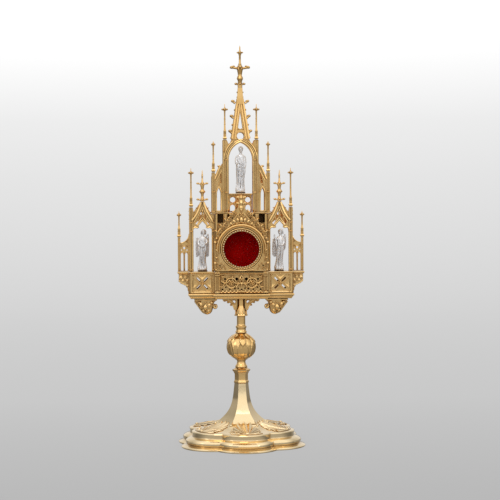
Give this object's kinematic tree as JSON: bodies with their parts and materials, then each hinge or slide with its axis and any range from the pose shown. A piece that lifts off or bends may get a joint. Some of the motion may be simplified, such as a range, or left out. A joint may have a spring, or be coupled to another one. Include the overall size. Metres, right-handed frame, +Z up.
{
  "type": "tower reliquary",
  "caption": "Gilded Gothic tower reliquary on a lobed foot and knopped stem, with a round relic window, angels in side chapels and a saint in an upper niche.",
  "frame": {"origin": "centre of the foot's underside, on the floor", "axes": "+Z up the stem and tower, +X to the right seen from the front, the relic window faces -Y"},
  "size_m": [0.1924, 0.1996, 0.6],
  "materials": {
    "gold": "polished gold plate",
    "silver": "satin silver plate",
    "plinth_bronze": "darkened gilt",
    "velvet": "deep red velvet",
    "glass": "clear"
  },
  "bodies": {
    "root": {"aedicule_back_left": "gold", "aedicule_back_right": "gold", "aedicule_front_left": "gold", "aedicule_front_right": "gold", "angel_left": "silver", "angel_plinth_left": "plinth_bronze", "angel_plinth_right": "plinth_bronze", "angel_right": "silver", "bracket_left": "gold", "bracket_right": "gold", "capital": "gold", "centre_body": "gold", "chapel_back_left": "gold", "chapel_back_right": "gold", "chapel_box_left": "gold", "chapel_box_right": "gold", "chapel_finial_left": "gold", "chapel_finial_right": "gold", "chapel_front_left": "gold", "chapel_front_right": "gold", "foot": "gold", "gable_front": "gold", "knop": "gold", "mid_shelf": "gold", "mid_tracery": "gold", "niche_back": "gold", "niche_front": "gold", "pendant_left": "gold", "pendant_right": "gold", "pinnacle_aedicule_left": "gold", "pinnacle_aedicule_right": "gold", "pinnacle_chapel_left": "gold", "pinnacle_chapel_right": "gold", "pinnacle_upper_left": "gold", "pinnacle_upper_right": "gold", "pinnacle_wing_left": "gold", "pinnacle_wing_right": "gold", "relic_case": "gold", "saint": "silver", "saint_plinth": "plinth_bronze", "spire": "gold", "stem_collar": "gold", "stem_upper": "gold", "top_finial": "gold", "tower_base": "gold", "tracery_panel": "gold", "upper_floor": "gold", "velvet_backing": "velvet", "window_bezel": "gold", "window_glass": "glass", "wing_corbel_left": "gold", "wing_corbel_right": "gold", "wing_left": "gold", "wing_right": "gold"}
  },
  "joints": []
}
